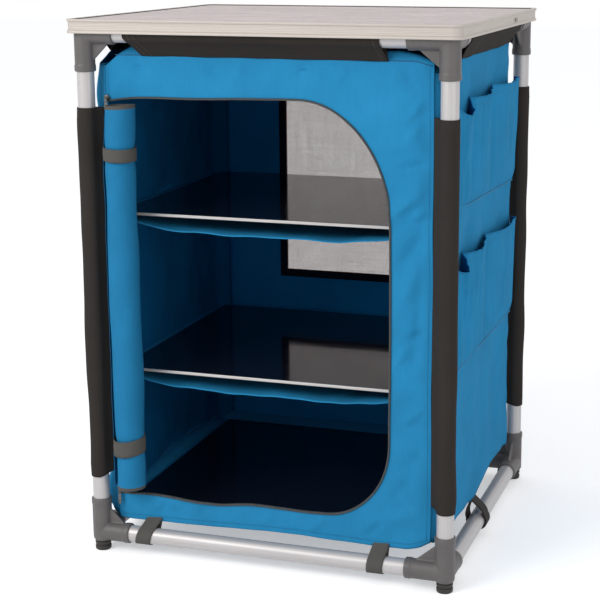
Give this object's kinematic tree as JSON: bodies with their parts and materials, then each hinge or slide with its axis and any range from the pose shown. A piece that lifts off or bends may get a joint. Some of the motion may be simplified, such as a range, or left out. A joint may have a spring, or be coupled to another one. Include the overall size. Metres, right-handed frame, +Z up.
{
  "type": "camping cupboard",
  "caption": "Camping cupboard: aluminium tube frame, laminate worktop, blue fabric cabinet with shelves, a rolled zip door and side pockets.",
  "frame": {"origin": "on the floor under the middle of the worktop", "axes": "+Z up, the door opening faces -Y, +X to the right as seen from the front"},
  "size_m": [0.58, 0.5334, 0.8],
  "materials": {
    "aluminium_tube": "satin anodised",
    "edge_profile": "satin, finely ribbed",
    "connector_plastic": "fine moulded grain",
    "foot_rubber": "matt",
    "marbled_laminate": "light grey marbled laminate",
    "black_laminate": "glossy black laminate",
    "blue_polyester": "coated plain weave",
    "charcoal_polyester": "plain weave",
    "grey_webbing": "ribbed tape",
    "window_mesh": "fine net",
    "zip_metal": "grey enamel"
  },
  "bodies": {
    "frame": {"leg_front_left": "aluminium_tube", "leg_front_right": "aluminium_tube", "leg_rear_left": "aluminium_tube", "leg_rear_right": "aluminium_tube", "rail_top_front": "aluminium_tube", "rail_top_rear": "aluminium_tube", "rail_top_left": "aluminium_tube", "rail_top_right": "aluminium_tube", "rail_bottom_front": "aluminium_tube", "rail_bottom_rear": "aluminium_tube", "rail_bottom_left": "aluminium_tube", "rail_bottom_right": "aluminium_tube", "corner_bottom_front_left": "connector_plastic", "corner_bottom_front_right": "connector_plastic", "corner_bottom_rear_left": "connector_plastic", "corner_bottom_rear_right": "connector_plastic", "corner_top_front_left": "connector_plastic", "corner_top_front_right": "connector_plastic", "corner_top_rear_left": "connector_plastic", "corner_top_rear_right": "connector_plastic", "front_panel": "blue_polyester", "back_panel": "blue_polyester", "left_panel": "blue_polyester", "right_panel": "blue_polyester", "roof_panel": "blue_polyester", "floor_panel": "blue_polyester", "mesh_window": "window_mesh", "shelf_board_upper": "black_laminate", "shelf_board_lower": "black_laminate", "floor_board": "black_laminate", "shelf_sling_upper": "blue_polyester", "shelf_sling_lower": "blue_polyester", "zip_tape": "grey_webbing", "leg_sleeve_front_left": "charcoal_polyester", "leg_sleeve_front_right": "charcoal_polyester", "leg_sleeve_rear_left": "charcoal_polyester", "leg_sleeve_rear_right": "charcoal_polyester", "rail_sleeve_front": "charcoal_polyester", "rail_sleeve_rear": "charcoal_polyester", "rail_sleeve_left": "charcoal_polyester", "rail_sleeve_right": "charcoal_polyester", "side_pockets_upper": "blue_polyester", "side_pockets_lower": "blue_polyester", "bottom_strap_front_left": "grey_webbing", "bottom_strap_front_right": "grey_webbing", "bottom_strap_right": "grey_webbing", "bottom_strap_left": "grey_webbing"},
    "worktop": {"tabletop_panel": "marbled_laminate", "tabletop_edge": "edge_profile"},
    "door": {"door_roll": "blue_polyester", "door_strap_upper": "grey_webbing", "door_strap_lower": "grey_webbing"},
    "slider_top": {"zip_slider_top": "zip_metal"},
    "pull_top": {"zip_pull_top": "zip_metal"},
    "slider_bottom": {"zip_slider_bottom": "zip_metal"},
    "pull_bottom": {"zip_pull_bottom": "zip_metal"},
    "foot_front_left": {"foot_front_left": "foot_rubber"},
    "foot_front_right": {"foot_front_right": "foot_rubber"},
    "foot_rear_left": {"foot_rear_left": "foot_rubber"},
    "foot_rear_right": {"foot_rear_right": "foot_rubber"}
  },
  "joints": [
    {"name": "worktop_lift", "type": "slide", "parent": "frame", "child": "worktop", "axis": [0, 0, 1], "range_m": [0, 0.06]},
    {"name": "door_swing", "type": "hinge", "parent": "frame", "child": "door", "pos_m": [-0.23895, -0.23025, 0.384], "axis": [0, 0, -1], "range_deg": [0, 30]},
    {"name": "zip_top_travel", "type": "slide", "parent": "frame", "child": "slider_top", "axis": [1, 0, 0], "range_m": [0, 0.3]},
    {"name": "zip_bottom_travel", "type": "slide", "parent": "frame", "child": "slider_bottom", "axis": [1, 0, 0], "range_m": [0, 0.3]},
    {"name": "pull_top_swing", "type": "hinge", "parent": "slider_top", "child": "pull_top", "pos_m": [-0.2403, -0.2377, 0.688], "axis": [-1, 0, 0], "range_deg": [0, 170]},
    {"name": "pull_bottom_swing", "type": "hinge", "parent": "slider_bottom", "child": "pull_bottom", "pos_m": [-0.2403, -0.2377, 0.092], "axis": [-1, 0, 0], "range_deg": [0, 110]},
    {"name": "foot_front_left_screw", "type": "slide", "parent": "frame", "child": "foot_front_left", "axis": [0, 0, -1], "range_m": [0, 0.01]},
    {"name": "foot_front_right_screw", "type": "slide", "parent": "frame", "child": "foot_front_right", "axis": [0, 0, -1], "range_m": [0, 0.01]},
    {"name": "foot_rear_left_screw", "type": "slide", "parent": "frame", "child": "foot_rear_left", "axis": [0, 0, -1], "range_m": [0, 0.01]},
    {"name": "foot_rear_right_screw", "type": "slide", "parent": "frame", "child": "foot_rear_right", "axis": [0, 0, -1], "range_m": [0, 0.01]}
  ]
}
